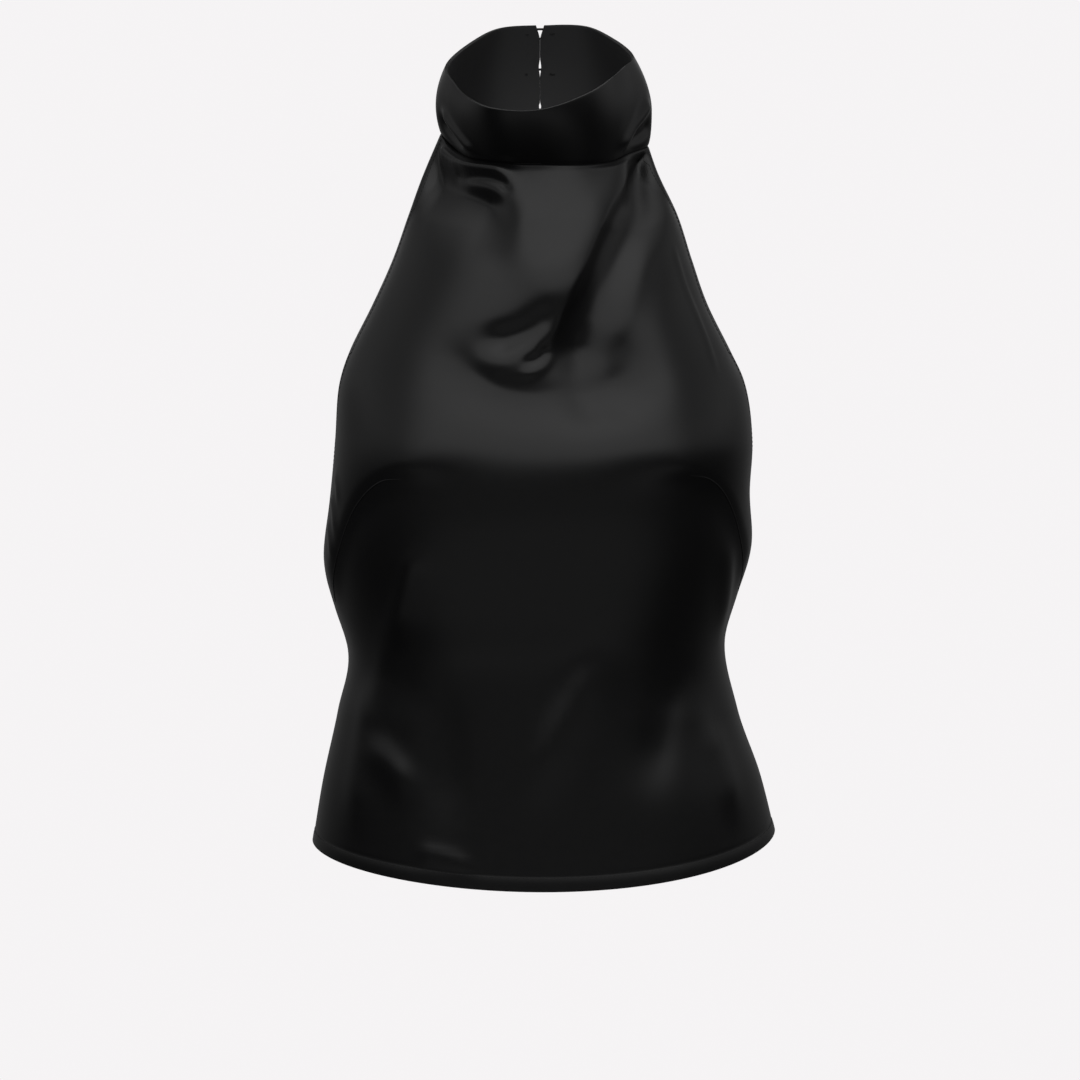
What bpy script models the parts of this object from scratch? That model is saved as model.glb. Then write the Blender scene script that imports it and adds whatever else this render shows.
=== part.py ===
"""Mock neck halter top in black satin, in the shape it has when it is worn, with nobody in it.

Metres, +Z up. The front faces -Y, and +X is on the right of somebody who looks at the front.
The origin is the middle of the neck opening, level with the base of the neck.
The tables are in millimetres and are turned to metres when the meshes are made.
"""

import math

import bmesh
import bpy
import numpy as np

MM = 0.001

BODY_WALL = 1.6       # cloth of the front and the back
COLLAR_WALL = 2.2     # the collar is doubled cloth
SEAM_GAP = 0.5        # between two sewn pieces, less where their walls lean together

# The front, one row for each section. The height is where the section crosses the centre front.
# left and right are its two ends: armhole edges above the side seams, side seams below.
# wrap is how far round the section bends on each side, in degrees, and square flattens its front.
FRONT_COLUMNS = ("height", "left_x", "right_x", "left_z", "right_z", "edge_y", "mid_y", "wrap", "square")
FRONT = (
    (-12, -69.0, 71.0, 10.0, 1.5, 0, -76, 90, 1.00),
    (-28, -79.0, 76.5, -14.0, -15.0, -9, -84, 88, 1.00),
    (-56, -90.0, 90.0, -45.0, -45.0, -22, -98, 84, 0.95),
    (-84, -100.5, 99.5, -75.0, -75.0, -29, -111, 80, 0.92),
    (-112, -114.0, 110.0, -105.0, -105.0, -32, -118, 77, 0.90),
    (-138, -129.0, 125.0, -135.0, -135.0, -30, -121, 77, 0.88),
    (-160, -136.0, 134.5, -155.0, -155.0, -26, -128, 79, 0.86),
    (-198, -140.0, 141.0, -195.0, -195.0, -18, -139, 83, 0.84),
    (-236, -143.5, 138.5, -237.0, -232.0, -8, -139, 87, 0.86),
    (-272, -147.0, 139.0, -277.0, -267.0, 2, -134, 90, 0.90),
    (-308, -141.5, 131.5, -311.0, -304.0, 6, -128, 90, 0.94),
    (-336, -133.5, 124.5, -340.0, -332.0, 7, -123, 90, 0.96),
    (-384, -140.5, 133.0, -382.0, -380.0, 7, -120.5, 90, 1.00),
    (-440, -151.0, 149.0, -430.0, -426.0, 8, -119.5, 90, 1.00),
    (-488, -158.0, 159.0, -471.5, -464.5, 10, -119.5, 90, 1.00),
)

# The back reaches from under the arms to the hem. A row shares its two ends with the front's row
# of the same height, and mid_z and mid_y are where it crosses the centre back.
BACK_COLUMNS = ("height", "mid_z", "mid_y")
BACK = (
    (-272, -286, 70),
    (-308, -314, 64),
    (-336, -339, 61),
    (-384, -384, 70),
    (-440, -434, 83),
    (-488, -479, 92),
)

# The collar, one row for each upright section. turn is the angle from the centre front, towards +X.
# base is the neck seam, or the free lower edge behind it, and belly is how far the middle bulges.
COLLAR_COLUMNS = ("turn", "base_x", "base_y", "base_z", "rim_x", "rim_y", "rim_z", "belly")
COLLAR = (
    (-180, -2, 60, 20, -2.0, 58, 87.0, 2),
    (-150, -36, 54, 16, -31.0, 53, 84.5, 2),
    (-125, -58, 36, 12, -48.0, 34, 75.0, 3),
    (-90, -69, 0, 10, -66.0, -2, 56.0, 5),
    (-65, -58, -26, -2, -61.5, -28, 45.0, 5),
    (-45, -47, -50, -8, -52.0, -50, 34.0, 4),
    (-25, -27, -69, -11, -36.0, -83, 24.5, 3),
    (0, 0, -76, -12, -2.0, -95, 22.5, 3),
    (25, 28, -68, -12, 32.0, -77, 35.0, 3),
    (45, 46, -49, -9.5, 47.0, -47, 46.5, 5),
    (65, 57, -25, -4, 55.0, -26, 54.5, 6),
    (90, 71, 0, 1.5, 61.5, 0, 62.0, 7),
    (125, 57, 38, 8, 47.5, 34, 77.0, 4),
    (150, 33, 55, 15, 30.0, 53, 86.0, 2),
)
COLLAR_DEPTH = 60     # from the seam to the rim along the cloth, on average
COLLAR_RADIUS = 68    # of the whole ring, on average

# The slit at the centre back: half its width at each part of the collar's height.
SLIT_COLUMNS = ("up", "half_width")
SLIT = ((0.0, 1.0), (0.5, 0.4), (0.86, 0.4), (1.0, 2.8))
SLIT_SPREAD = 8       # degrees of the ring that give way to it

# Folds, one row each. A height above 0 is a ridge, and one below 0 is a trough. left and right are
# the widths of its two flanks for somebody who walks along the path, and fade_in and fade_out are
# the lengths over which it rises and dies away. On the front, the path is millimetres along the
# cloth from the centre front and the height of the row. On the collar, it is millimetres along the
# ring from the centre front and millimetres up from the seam.
FOLD_COLUMNS = ("name", "height", "left", "right", "fade_in", "fade_out", "path")
FRONT_FOLDS = (
    ("throat ridge", 5.5, 6, 24, 1, 26,
     ((96, -12), (56, -34), (38, -54), (24, -84), (15, -104), (8, -118), (0, -130))),
    ("slope beside the throat ridge", -10.5, 17, 19, 2, 24,
     ((98, -22), (75, -46), (59, -67), (47, -91), (38, -112), (29, -131), (17, -148))),
    ("lip", 2.4, 12, 10, 20, 22,
     ((14, -110), (5, -124), (-8, -134), (-26, -141), (-46, -141))),
    ("hook hollow", -3.8, 9, 10, 14, 16,
     ((12, -106), (3, -114), (-9, -121), (-22, -126), (-38, -130))),
    ("crease under the lip", -4.6, 12, 26, 20, 24,
     ((-56, -142), (-40, -153), (-24, -160), (-6, -163), (16, -161), (43, -156), (70, -149))),
    ("sag right of the hook", -7.0, 26, 22, 18, 24,
     ((16, -160), (34, -160), (52, -155), (70, -145))),
    ("second ridge", 1.2, 12, 12, 18, 30,
     ((80, -46), (66, -68), (54, -90), (46, -110), (40, -124))),
    ("valley beyond the second ridge", -1.8, 14, 10, 18, 20,
     ((92, -76), (78, -98), (68, -118), (58, -132), (44, -142))),
    ("left ridge", 4.5, 7, 6, 1, 20,
     ((-100, -16), (-66, -16), (-40, -16), (-24, -19), (-16, -27))),
    ("hollow under the left ridge", -9.5, 9, 26, 4, 16,
     ((-100, -30), (-68, -31), (-46, -35), (-26, -43))),
    ("edge of the tongue", 4.5, 26, 16, 20, 24,
     ((-12, -34), (-11, -56), (-7, -76), (3, -90), (12, -100))),
    ("cup over the left dart", 4.0, 12, 44, 40, 24,
     ((-56, -205), (-90, -206), (-118, -213), (-142, -229), (-162, -254), (-184, -292))),
    ("cup over the right dart", 4.0, 44, 12, 40, 24,
     ((62, -206), (96, -207), (126, -216), (152, -232), (172, -256), (194, -290))),
    ("streak below the left dart", 2.5, 12, 10, 20, 30,
     ((-81, -258), (-92, -294), (-104, -330))),
    ("streak below the right dart", 2.0, 10, 12, 20, 30,
     ((146, -266), (156, -290), (166, -330))),
    ("light patch by the left waist", 1.6, 14, 14, 20, 24,
     ((-100, -300), (-112, -336), (-122, -376))),
    ("long slant", 3.6, 18, 13, 40, 50,
     ((50, -322), (20, -374), (-10, -436))),
    ("dark slant by the right hip", -3.2, 12, 20, 24, 30,
     ((104, -348), (90, -384), (76, -424))),
    ("right hip fall", 2.6, 14, 12, 24, 30,
     ((130, -380), (140, -418), (148, -460))),
    ("left hip fall", 2.6, 14, 16, 30, 40,
     ((-128, -350), (-134, -404), (-144, -470))),
    ("left hip patch", 2.4, 10, 14, 16, 18,
     ((-124, -398), (-106, -410), (-88, -426))),
    ("left belly trough", -2.8, 18, 20, 40, 50,
     ((-70, -340), (-62, -394), (-66, -460))),
)
COLLAR_FOLDS = (
    ("left pocket edge", 3.0, 6, 6, 8, 10, ((-84, 31), (-64, 20), (-46, 6))),
    ("left pocket", -4.0, 8, 8, 8, 8, ((-92, 22), (-76, 12), (-62, 7))),
    ("right pocket edge", 3.5, 6, 7, 8, 10, ((98, 31), (78, 19), (58, 5))),
    ("right pocket", -4.0, 8, 8, 8, 8, ((104, 19), (90, 11), (74, 6))),
)
FOLD_SAMPLES = 12     # for each point of a fold's path
SEAM_REACH = 12       # folds die away this far from a seam or an edge
TOP_REACH = 5         # and this far from the neck seam, where the drape starts
DIP = 1.25            # how late a section leaves the height of its ends

FRONT_TOP, UNDER_ARM, HEM = FRONT[0][0], BACK[0][0], FRONT[-1][0]
CHEST_FOOT = -172     # rows are closer together above it, where the folds are sharp
CHEST_STEP, BUST_STEP, SIDE_STEP = 5.0, 14, 15.4
FRONT_CELLS, BACK_CELLS = 48, 26        # cells across a panel
MIDDLE_CELL = 0.68    # width of the front's middle cells, as a part of the average
COLLAR_CELLS, COLLAR_RINGS = 60, 6

BUTTONS = 3           # covered buttons, each with a loop
BUTTON_TOP, BUTTON_PITCH = 0.91, 0.41   # parts of the collar's height
BUTTON_TURN = 172.6   # degrees, just past the slit on the +X side
BUTTON_RADIUS, BUTTON_HEIGHT = 4.6, 4.8
SHANK_RADIUS, SHANK_HEIGHT = 1.6, 2.2
LOOP_CORD = 0.8       # radius of the loop's cord
LOOP_REACH = 13       # from the button to the loop's sewn ends

SATIN = ("black satin", (0.012, 0.012, 0.013, 1.0), 0.38)


def clear_scene():
    for obj in list(bpy.data.objects):
        bpy.data.objects.remove(obj, do_unlink=True)


def satin():
    name, colour, roughness = SATIN
    material = bpy.data.materials.new(name)
    material.use_nodes = True
    shader = material.node_tree.nodes["Principled BSDF"]
    shader.inputs["Base Color"].default_value = colour
    shader.inputs["Roughness"].default_value = roughness
    shader.inputs["Metallic"].default_value = 0.0
    return material


def through(knots, values, at):
    """A smooth curve through the rows of a table, read at some places."""
    knots, values, at = (np.asarray(a, float) for a in (knots, values, at))
    slopes = np.gradient(values, knots)
    i = np.clip(np.searchsorted(knots, at) - 1, 0, len(knots) - 2)
    gap = knots[i + 1] - knots[i]
    s = np.clip((at - knots[i]) / gap, 0, 1)
    return (
        (1 + 2 * s) * (1 - s) ** 2 * values[i]
        + s * (1 - s) ** 2 * gap * slopes[i]
        + s * s * (3 - 2 * s) * values[i + 1]
        - s * s * (1 - s) * gap * slopes[i + 1]
    )


def ease(part):
    """0 to 1, with a soft start and a soft end."""
    part = np.clip(part, 0, 1)
    return part * part * (3 - 2 * part)


def column(table, columns, name, at):
    """One column of a table, read between its rows. The first column says where each row is."""
    rows = sorted(table)
    n = columns.index(name)
    return through([row[0] for row in rows], [row[n] for row in rows], at)


def collar_line(edge, turn):
    """Points of the collar's base or rim round the ring."""
    before = [(row[0] - 360, *row[1:]) for row in COLLAR]
    after = [(row[0] + 360, *row[1:]) for row in COLLAR]
    table = before + list(COLLAR) + after
    names = [f"{edge}_{axis}" for axis in "xyz"]
    return np.stack([column(table, COLLAR_COLUMNS, name, turn) for name in names], -1)


def collar_belly(turn):
    table = [(row[0] + lap, *row[1:]) for lap in (-360, 0, 360) for row in COLLAR]
    return column(table, COLLAR_COLUMNS, "belly", turn)


def section(across, height, ends, mid_y, wrap, square):
    """One section from its left end (across -1) through the middle (0) to its right end (1)."""
    left_x, right_x, left_z, right_z, edge_y = ends
    wrap = np.radians(np.minimum(wrap, 90))
    angle = across * wrap
    side = np.sin(angle) / np.sin(wrap)
    depth = np.clip((np.cos(angle) - np.cos(wrap)) / (1 - np.cos(wrap)), 0, 1)
    edge_z = left_z + (right_z - left_z) * (side + 1) / 2
    x = (left_x + right_x) / 2 + (right_x - left_x) / 2 * side
    y = edge_y + (mid_y - edge_y) * depth**square
    z = edge_z + (height - edge_z) * depth**DIP
    return np.stack([x, y, z], -1)


def side_ends(row):
    names = ("left_x", "right_x", "left_z", "right_z", "edge_y")
    return [column(FRONT, FRONT_COLUMNS, name, row) for name in names]


def plain_front(across, row):
    """The front with no folds. Its top row is the neck seam."""
    mid_y, wrap, square = (column(FRONT, FRONT_COLUMNS, n, row) for n in ("mid_y", "wrap", "square"))
    points = section(across, row, side_ends(row), mid_y, wrap, square)
    top = np.full_like(row, FRONT_TOP)
    mid_y, wrap, square = (column(FRONT, FRONT_COLUMNS, n, top) for n in ("mid_y", "wrap", "square"))
    shift = collar_line("base", 90 * across) - section(across, top, side_ends(top), mid_y, wrap, square)
    near_seam = 1 - ease((FRONT_TOP - row) / 45)
    return points + near_seam[..., None] * shift


def plain_back(across, row):
    """The back, whose ends lie a seam's gap behind the front's."""
    ends = side_ends(row)
    ends[-1] = ends[-1] + SEAM_GAP
    mid_z, mid_y = (column(BACK, BACK_COLUMNS, name, row) for name in ("mid_z", "mid_y"))
    return section(across, mid_z, ends, mid_y, np.full_like(row, 90.0), np.ones_like(row))


def plain_collar(turn, up):
    """The collar with no folds: turn in degrees, and up from 0 at the seam to 1 at the rim."""
    base, rim = collar_line("base", turn), collar_line("rim", turn)
    middle = (base + rim) / 2 * (1, 1, 0)
    outward = middle / np.linalg.norm(middle, axis=-1, keepdims=True)
    bulge = collar_belly(turn) * 4 * up * (1 - up)
    points = base + (rim - base) * up[..., None] + outward * bulge[..., None]
    half_width = column(SLIT, SLIT_COLUMNS, "half_width", up)
    give = np.exp(-(((180 - abs(turn)) / SLIT_SPREAD) ** 2)) * half_width * np.sign(turn)
    points[..., 0] += give
    return points


def outward_normals(points):
    """Normals of a grid of points, pointing away from the middle of the garment."""
    along_rows = np.gradient(points, axis=1)
    along_columns = np.gradient(points, axis=0)
    normals = np.cross(along_rows, along_columns)
    normals /= np.linalg.norm(normals, axis=-1, keepdims=True)
    middle = points.shape[0] // 2, points.shape[1] // 2
    outward = np.sum(normals[middle][:2] * points[middle][:2])
    return normals if outward > 0 else -normals


def fold_relief(places, folds):
    """How far the folds lift or sink the cloth at each place on it. Each point of a fold's path
    raises the cloth about it, and the highest of these counts."""
    relief = np.zeros(places.shape[:-1])
    for _, height, left, right, fade_in, fade_out, path in folds:
        path = np.array(path, float)
        knots = np.arange(len(path))
        at = np.linspace(0, len(path) - 1, FOLD_SAMPLES * len(path))
        line = np.stack([through(knots, path[:, 0], at), through(knots, path[:, 1], at)], -1)
        ahead = np.gradient(line, axis=0)
        run = np.concatenate([[0], np.cumsum(np.linalg.norm(np.diff(line, axis=0), axis=1))])
        ahead /= np.linalg.norm(ahead, axis=1, keepdims=True)
        ends = ease(run / fade_in + 0.001) * ease((run[-1] - run) / fade_out + 0.001)
        lift = np.zeros_like(relief)
        for here, way, share in zip(line, ahead, ends):
            offset = places - here
            distance = np.hypot(offset[..., 0], offset[..., 1]) + 1e-6
            leftness = (way[0] * offset[..., 1] - way[1] * offset[..., 0]) / distance
            width = (left + right) / 2 + (left - right) / 2 * leftness
            np.maximum(lift, share * np.exp(-((distance / width) ** 2)), out=lift)
        relief += height * lift
    return relief


def along_cloth(points):
    """Millimetres along each row of a grid of points, from its middle column."""
    steps = np.linalg.norm(np.diff(points, axis=1), axis=-1)
    run = np.concatenate([np.zeros((len(points), 1)), np.cumsum(steps, axis=1)], 1)
    return run - run[:, [points.shape[1] // 2]]


def folded_front(across, row):
    points = plain_front(across, row)
    run = along_cloth(points)
    relief = fold_relief(np.stack([run, row], -1), FRONT_FOLDS)
    from_sides = np.minimum(run - run[:, :1], run[:, -1:] - run)
    relief *= ease(from_sides / SEAM_REACH) * ease((FRONT_TOP - row) / TOP_REACH)
    return points + outward_normals(points) * relief[..., None]


def folded_collar(turn, up):
    points = plain_collar(turn, up)
    run = np.radians(turn) * COLLAR_RADIUS
    relief = fold_relief(np.stack([run, up * COLLAR_DEPTH], -1), COLLAR_FOLDS)
    relief *= ease(up * COLLAR_DEPTH / SEAM_REACH) * ease((1 - up) * COLLAR_DEPTH / SEAM_REACH)
    return points + outward_normals(points) * relief[..., None]


def cloth_object(name, points, wall, material, collection):
    """A sheet whose outer side is a grid of points, with its thickness inwards."""
    rows, columns = points.shape[:2]
    mesh = bpy.data.meshes.new(name)
    grid = bmesh.new()
    bmesh.ops.create_grid(grid, x_segments=columns - 1, y_segments=rows - 1, size=0.5)
    for vert in grid.verts:
        j = round((vert.co.x + 0.5) * (columns - 1))
        i = round((vert.co.y + 0.5) * (rows - 1))
        vert.co = points[i, j] * MM
    grid.normal_update()
    outwards = sum(face.normal.xy.dot(face.calc_center_median().xy) for face in grid.faces)
    if outwards < 0:
        bmesh.ops.reverse_faces(grid, faces=grid.faces)
    grid.to_mesh(mesh)
    grid.free()
    mesh.shade_smooth()
    mesh.materials.append(material)
    obj = bpy.data.objects.new(name, mesh)
    collection.objects.link(obj)
    solidify = obj.modifiers.new("cloth", "SOLIDIFY")
    solidify.thickness = wall * MM
    solidify.offset = -1
    return obj


def rows_from(top, foot, step):
    return np.linspace(top, foot, 1 + round((top - foot) / step))


def make_front(material, collection):
    chest = rows_from(FRONT_TOP, CHEST_FOOT, CHEST_STEP)
    bust = rows_from(CHEST_FOOT, UNDER_ARM, BUST_STEP)
    heights = np.concatenate([chest, bust[1:], rows_from(UNDER_ARM, HEM, SIDE_STEP)[1:]])
    # Columns are closer together near the centre front.
    even = np.linspace(-1, 1, FRONT_CELLS + 1)
    across, row = np.meshgrid(even * (MIDDLE_CELL + (1 - MIDDLE_CELL) * even**2), heights)
    return cloth_object("front", folded_front(across, row), BODY_WALL, material, collection)


def make_back(material, collection):
    heights = rows_from(UNDER_ARM, HEM, SIDE_STEP)
    across, row = np.meshgrid(np.linspace(-1, 1, BACK_CELLS + 1), heights)
    return cloth_object("back", plain_back(across, row), BODY_WALL, material, collection)


def make_collar(material, collection):
    lift = SEAM_GAP / COLLAR_DEPTH
    turn, up = np.meshgrid(
        np.linspace(-180, 180, COLLAR_CELLS + 1), np.linspace(lift, 1, COLLAR_RINGS + 1)
    )
    return cloth_object("collar", folded_collar(turn, up), COLLAR_WALL, material, collection)


def collar_frame(turn, up):
    """A point of the collar's outer side, and the directions round, up and out there."""
    reach = 0.5
    turns, ups = np.meshgrid([turn - reach, turn, turn + reach], [up - 0.02, up, up + 0.02])
    points = plain_collar(turns, ups)
    ahead = points[1, 2] - points[1, 0]
    ahead /= np.linalg.norm(ahead)
    upward = points[2, 1] - points[0, 1]
    upward -= ahead * np.dot(upward, ahead)
    upward /= np.linalg.norm(upward)
    return points[1, 1], ahead, upward, np.cross(ahead, upward)


def make_button(n, material, collection):
    """A covered button: a dome on a shank, turned about its own axis and set on the collar."""
    profile = (
        (0.0, BUTTON_HEIGHT),
        (0.55 * BUTTON_RADIUS, 0.92 * BUTTON_HEIGHT),
        (0.88 * BUTTON_RADIUS, 0.74 * BUTTON_HEIGHT),
        (BUTTON_RADIUS, SHANK_HEIGHT + 0.4),
        (0.92 * BUTTON_RADIUS, SHANK_HEIGHT),
        (SHANK_RADIUS, SHANK_HEIGHT),
        (SHANK_RADIUS, 0.0),
        (0.0, 0.0),
    )
    turned = bmesh.new()
    verts = [turned.verts.new((radius * MM, 0, height * MM)) for radius, height in profile]
    edges = [turned.edges.new(pair) for pair in zip(verts, verts[1:])]
    bmesh.ops.spin(
        turned, geom=verts + edges, cent=(0, 0, 0), axis=(0, 0, 1), angle=math.tau, steps=14, use_merge=True
    )
    bmesh.ops.remove_doubles(turned, verts=turned.verts, dist=0.00001)
    bmesh.ops.recalc_face_normals(turned, faces=turned.faces)
    point, ahead, upward, outward = collar_frame(BUTTON_TURN, BUTTON_TOP - n * BUTTON_PITCH)
    for vert in turned.verts:
        x, y, z = vert.co
        vert.co = (point + SEAM_GAP * outward) * MM + ahead * x + upward * y + outward * z
    if np.dot(np.cross(ahead, upward), outward) < 0:
        bmesh.ops.reverse_faces(turned, faces=turned.faces)
    mesh = bpy.data.meshes.new(f"button_{n + 1}")
    turned.to_mesh(mesh)
    turned.free()
    mesh.shade_smooth()
    mesh.materials.append(material)
    obj = bpy.data.objects.new(f"button_{n + 1}", mesh)
    collection.objects.link(obj)
    return obj


def make_loop(n, material, collection):
    """A cord loop: it is sewn on across the slit and goes round the button's shank."""
    up = BUTTON_TOP - n * BUTTON_PITCH
    radius = SHANK_RADIUS + SEAM_GAP + LOOP_CORD
    bend = [(radius * math.cos(a), radius * math.sin(a)) for a in np.linspace(-math.pi / 2, math.pi / 2, 9)]
    legs = [-LOOP_REACH, -0.75 * LOOP_REACH, -0.5 * LOOP_REACH, -0.25 * LOOP_REACH]
    route = [(x, -radius) for x in legs] + bend + [(x, radius) for x in reversed(legs)]
    degree = COLLAR_RADIUS * math.radians(1)
    curve = bpy.data.curves.new(f"loop_{n + 1}", "CURVE")
    curve.dimensions = "3D"
    curve.bevel_depth = LOOP_CORD * MM
    curve.bevel_resolution = 2
    curve.use_fill_caps = True
    spline = curve.splines.new("POLY")
    spline.points.add(len(route) - 1)
    for point, (x, z) in zip(spline.points, route):
        turn = BUTTON_TURN - x / degree
        turn = turn - 360 if turn > 180 else turn
        on_cloth, _, _, outward = collar_frame(turn, up + z / COLLAR_DEPTH)
        place = on_cloth + outward * (SEAM_GAP + LOOP_CORD)
        point.co = (*(place * MM), 1)
    curve.materials.append(material)
    obj = bpy.data.objects.new(f"loop_{n + 1}", curve)
    collection.objects.link(obj)
    return obj


def main():
    clear_scene()
    collection = bpy.data.collections.new("mock_neck_halter_top")
    bpy.context.scene.collection.children.link(collection)
    material = satin()
    make_front(material, collection)
    make_back(material, collection)
    make_collar(material, collection)
    for n in range(BUTTONS):
        make_button(n, material, collection)
        make_loop(n, material, collection)


main()
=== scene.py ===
"""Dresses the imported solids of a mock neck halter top: black satin, worn, with nobody in it.

The frame's solids give the form. The tables below hold their sections and folds, in millimetres.
They are read here on finer grids, with small folds, thinner walls and the sewing added.
"""

import math

import bmesh
import bpy
import numpy as np
from bpy.props import FloatProperty, StringProperty
from mathutils import Euler, Matrix


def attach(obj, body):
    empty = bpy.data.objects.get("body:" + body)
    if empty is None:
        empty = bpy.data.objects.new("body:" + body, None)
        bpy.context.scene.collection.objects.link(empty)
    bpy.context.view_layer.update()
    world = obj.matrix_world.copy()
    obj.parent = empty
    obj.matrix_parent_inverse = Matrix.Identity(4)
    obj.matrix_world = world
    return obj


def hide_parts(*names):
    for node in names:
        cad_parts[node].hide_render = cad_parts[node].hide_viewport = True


bl_info = {
    "name": "Mock Neck Halter Top",
    "version": (1, 0, 0),
    "blender": (4, 5, 0),
    "location": "View3D > Sidebar > Halter Top",
    "description": "Cloth, sewing, fastenings and studio for a black satin halter top",
    "category": "Object",
}

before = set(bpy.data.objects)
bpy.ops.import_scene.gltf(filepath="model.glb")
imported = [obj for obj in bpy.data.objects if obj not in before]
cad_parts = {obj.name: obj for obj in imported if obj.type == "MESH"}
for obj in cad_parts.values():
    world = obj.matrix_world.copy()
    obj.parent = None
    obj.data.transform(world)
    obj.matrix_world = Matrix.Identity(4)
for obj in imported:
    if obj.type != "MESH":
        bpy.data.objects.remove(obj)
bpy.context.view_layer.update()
BODY = "root"
MM = 0.001

# The front, one row for each section. The height is where the section crosses the centre front.
# wrap is how far round it goes on each side, in degrees. square is 1 for a round section, and less
# for a boxier one.
FRONT_COLUMNS = ("height", "left_x", "right_x", "left_z", "right_z", "edge_y", "mid_y", "wrap", "square")
FRONT = (
    (-12, -69.0, 71.0, 10.0, 1.5, 0, -76, 90, 1.00),
    (-28, -79.0, 76.5, -14.0, -15.0, -9, -84, 88, 1.00),
    (-56, -90.0, 90.0, -45.0, -45.0, -22, -98, 84, 0.95),
    (-84, -100.5, 99.5, -75.0, -75.0, -29, -111, 80, 0.92),
    (-112, -114.0, 110.0, -105.0, -105.0, -32, -118, 77, 0.90),
    (-138, -129.0, 125.0, -135.0, -135.0, -30, -121, 77, 0.88),
    (-160, -136.0, 134.5, -155.0, -155.0, -26, -128, 79, 0.86),
    (-198, -140.0, 141.0, -195.0, -195.0, -18, -139, 83, 0.84),
    (-236, -143.5, 138.5, -237.0, -232.0, -8, -139, 87, 0.86),
    (-272, -147.0, 139.0, -277.0, -267.0, 2, -134, 90, 0.90),
    (-308, -141.5, 131.5, -311.0, -304.0, 6, -128, 90, 0.94),
    (-336, -133.5, 124.5, -340.0, -332.0, 7, -123, 90, 0.96),
    (-384, -140.5, 133.0, -382.0, -380.0, 7, -120.5, 90, 1.00),
    (-440, -151.0, 149.0, -430.0, -426.0, 8, -119.5, 90, 1.00),
    (-488, -158.0, 159.0, -471.5, -464.5, 10, -119.5, 90, 1.00),
)

# The back, from under the arms to the hem. A row shares its ends with the front's row.
BACK_COLUMNS = ("height", "mid_z", "mid_y")
BACK = (
    (-272, -286, 70),
    (-308, -314, 64),
    (-336, -339, 61),
    (-384, -384, 70),
    (-440, -434, 83),
    (-488, -479, 92),
)

# The collar, one row for each upright section, by the angle from the centre front.
COLLAR_COLUMNS = ("turn", "base_x", "base_y", "base_z", "rim_x", "rim_y", "rim_z", "belly")
COLLAR = (
    (-180, -2, 60, 20, -2.0, 58, 87.0, 2),
    (-150, -36, 54, 16, -31.0, 53, 84.5, 2),
    (-125, -58, 36, 12, -48.0, 34, 75.0, 3),
    (-90, -69, 0, 10, -66.0, -2, 56.0, 5),
    (-65, -58, -26, -2, -61.5, -28, 45.0, 5),
    (-45, -47, -50, -8, -52.0, -50, 34.0, 4),
    (-25, -27, -69, -11, -36.0, -83, 24.5, 3),
    (0, 0, -76, -12, -2.0, -95, 22.5, 3),
    (25, 28, -68, -12, 32.0, -77, 35.0, 3),
    (45, 46, -49, -9.5, 47.0, -47, 46.5, 5),
    (65, 57, -25, -4, 55.0, -26, 54.5, 6),
    (90, 71, 0, 1.5, 61.5, 0, 62.0, 7),
    (125, 57, 38, 8, 47.5, 34, 77.0, 4),
    (150, 33, 55, 15, 30.0, 53, 86.0, 2),
)
# The collar's depth, and the radius that turns degrees round it into millimetres of cloth.
COLLAR_DEPTH = 60
COLLAR_RADIUS = 68

# Half the width of the slit behind, at each part of the collar's height. It closes at the buttons.
SLIT_COLUMNS = ("up", "half_width")
SLIT = (
    (0.00, 0.5),
    (0.06, 0.02),
    (0.12, 0.02),
    (0.16, 0.8),
    (0.21, 0.02),
    (0.48, 0.02),
    (0.57, 0.8),
    (0.66, 0.02),
    (0.86, 0.02),
    (1.00, 2.8),
)
# The slit's edges never come nearer than this, and its opening fades out over these degrees.
SLIT_TOUCH = 0.02
SLIT_SPREAD = 8

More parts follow.
